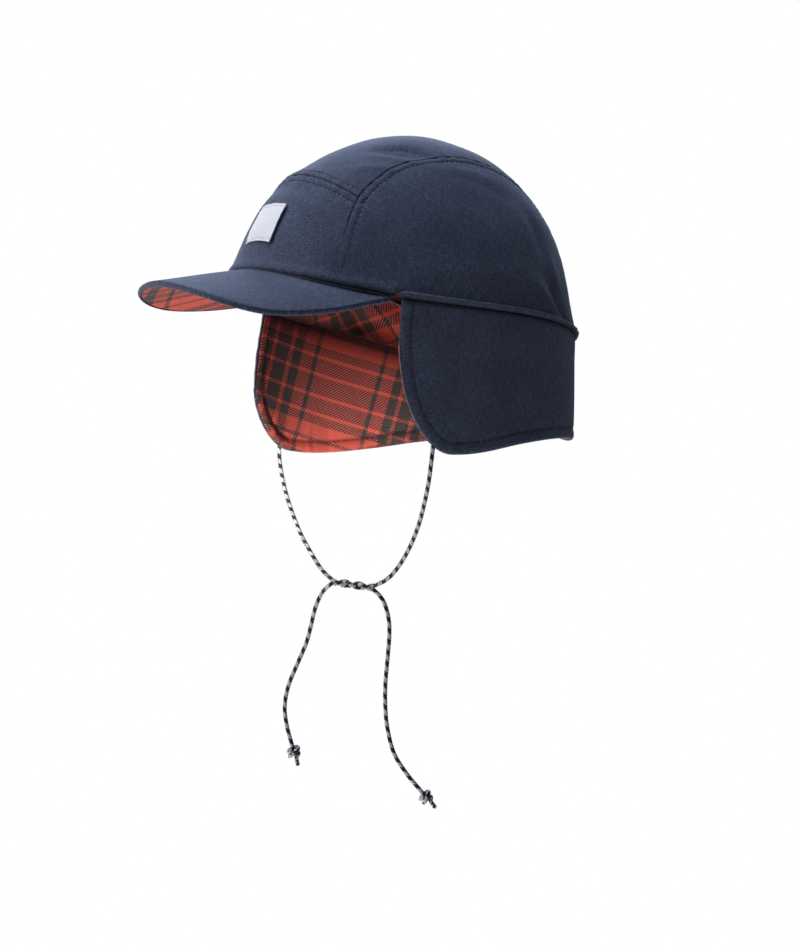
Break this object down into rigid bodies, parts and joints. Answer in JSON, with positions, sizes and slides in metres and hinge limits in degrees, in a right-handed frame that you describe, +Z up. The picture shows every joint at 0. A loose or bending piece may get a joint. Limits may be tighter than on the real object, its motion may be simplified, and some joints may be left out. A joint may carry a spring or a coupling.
{
  "type": "earflap cap",
  "caption": "Soft cap with a curved peak, a rolled hem, one plaid-lined ear and neck flap, and two knotted tie cords twisted below the chin.",
  "frame": {"origin": "middle of the head opening at the hem, where the cap sits on a head", "axes": "+Z up as the cap is worn, front and peak to -Y, wearer's left to +X"},
  "size_m": [0.1642, 0.2517, 0.3665],
  "materials": {
    "navy_cloth": "matte heathered twill",
    "plaid_flannel": "brushed red and charcoal plaid",
    "label_cloth": "woven, bare",
    "cord_braid": "black and grey braid"
  },
  "bodies": {
    "root": {"front_panel": "navy_cloth", "top_panel": "navy_cloth", "side_panel_left": "navy_cloth", "side_panel_right": "navy_cloth", "crown_lining": "plaid_flannel", "crown_welt": "navy_cloth", "earflap_shell": "navy_cloth", "earflap_lining": "plaid_flannel", "peak": "navy_cloth", "peak_underside": "plaid_flannel", "label": "label_cloth", "cord_left": "cord_braid", "cord_right": "cord_braid", "cord_knot_left": "cord_braid", "cord_knot_right": "cord_braid"}
  },
  "joints": []
}
